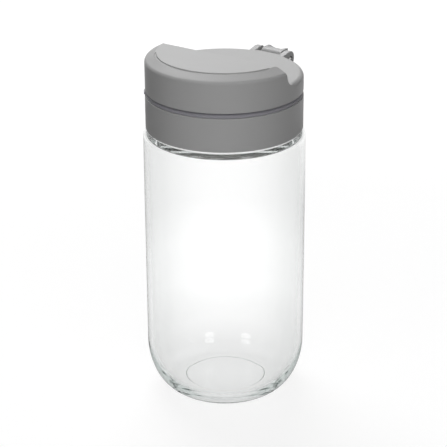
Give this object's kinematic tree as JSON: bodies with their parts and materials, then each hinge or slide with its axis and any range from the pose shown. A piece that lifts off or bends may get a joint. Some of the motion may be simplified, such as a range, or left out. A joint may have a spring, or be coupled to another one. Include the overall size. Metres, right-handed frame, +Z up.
{
  "type": "storage jar",
  "caption": "Tall clear glass jar with a rounded foot, a grey screw collar and a hollow flip-up lid, high in front of a ridge and low at the back, hinged on a steel pin.",
  "frame": {"origin": "centre of the jar's foot, on the surface that it stands on and on the jar's own axis", "axes": "+Z up the jar's axis; +Y towards the hinge at the back, so the lid opens from the front at -Y; +X to the right seen from the front"},
  "size_m": [0.084, 0.0922, 0.1878],
  "materials": {
    "clear_glass": "clear, polished",
    "grey_plastic": "satin moulded",
    "liner_plastic": "satin moulded",
    "grey_silicone": "soft matt",
    "clear_silicone": "translucent, matt",
    "steel": "ground"
  },
  "bodies": {
    "jar": {"glass_jar": "clear_glass"},
    "neck_seal": {"jar_gasket": "clear_silicone"},
    "collar": {"screw_collar": "grey_plastic", "lid_gasket": "grey_silicone", "hinge_pin": "steel"},
    "lid": {"flip_lid": "grey_plastic", "lid_liner": "liner_plastic"}
  },
  "joints": [
    {"name": "collar_lift", "type": "slide", "parent": "jar", "child": "neck_seal", "axis": [0, 0, 1], "range_m": [0, 0.0051]},
    {"name": "collar_turn", "type": "hinge", "parent": "neck_seal", "child": "collar", "pos_m": [0, 0, 0.15], "axis": [0, 0, 1], "range_deg": [0, 450]},
    {"name": "lid_hinge", "type": "hinge", "parent": "collar", "child": "lid", "pos_m": [0, 0.0456, 0.17385], "axis": [-1, 0, 0], "range_deg": [0, 98]}
  ],
  "couplings": [
    {"joint": "collar_lift", "follows": "collar_turn", "m_per_rad": 0.00063662}
  ]
}
